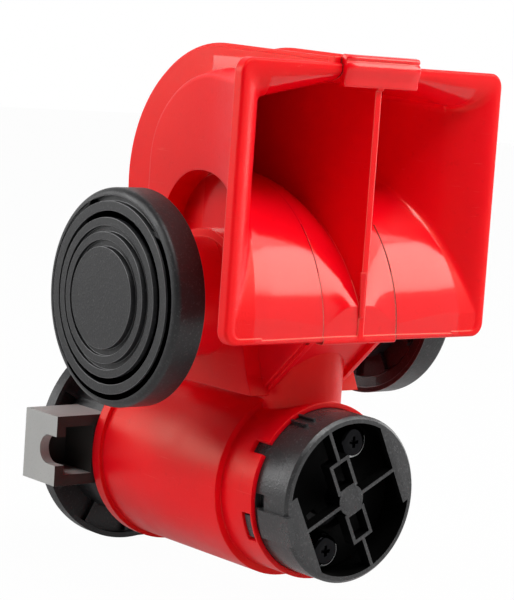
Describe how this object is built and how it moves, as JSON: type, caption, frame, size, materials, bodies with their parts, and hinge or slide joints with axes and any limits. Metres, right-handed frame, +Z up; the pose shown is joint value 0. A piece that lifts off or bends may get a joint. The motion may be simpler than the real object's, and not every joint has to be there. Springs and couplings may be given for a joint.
{
  "type": "car horn",
  "caption": "Compact electric air horn for a vehicle: double spiral bell with side diaphragm capsules over a vane pump and its motor, with a slotted mounting bracket.",
  "frame": {"origin": "axis of the M8 mounting bolt where it meets the outer face of the mounting bracket", "axes": "+Z up, -Y the way the mouth faces, -X the way the mounting bolt's head side faces out of the bracket"},
  "size_m": [0.1048, 0.1099, 0.1497],
  "materials": {
    "red": "satin moulded, faint flow mottle",
    "black": "satin moulded",
    "grey": "matte moulded",
    "steel": "bright zinc",
    "can_steel": "zinc plated",
    "rubber": "matte",
    "brass": "plain",
    "aluminium": "machined",
    "carbon": "graphite-filled"
  },
  "bodies": {
    "housing": {"centre_body": "red", "left_bell": "red", "right_bell": "red", "left_cover": "black", "right_cover": "black", "left_base": "black", "right_base": "black", "left_gasket": "rubber", "right_gasket": "rubber", "left_diaphragm": "steel", "right_diaphragm": "steel", "front_cap": "black", "pump_front_plate": "black", "pump_ring": "aluminium", "pump_rear_plate": "aluminium", "pump_screws": "steel", "pump_washers": "steel", "motor_bushing": "brass", "motor_can": "can_steel", "motor_end_cap": "black", "motor_cushion": "rubber", "terminals": "brass", "rear_cover": "black", "mounting_bracket": "grey"},
    "rotor": {"pump_rotor": "carbon", "pump_vanes": "carbon", "motor_shaft": "steel"}
  },
  "joints": [
    {"name": "pump_spin", "type": "hinge", "parent": "housing", "child": "rotor", "pos_m": [0.039, -0.05, 0], "axis": [0, 1, 0], "continuous": true}
  ]
}
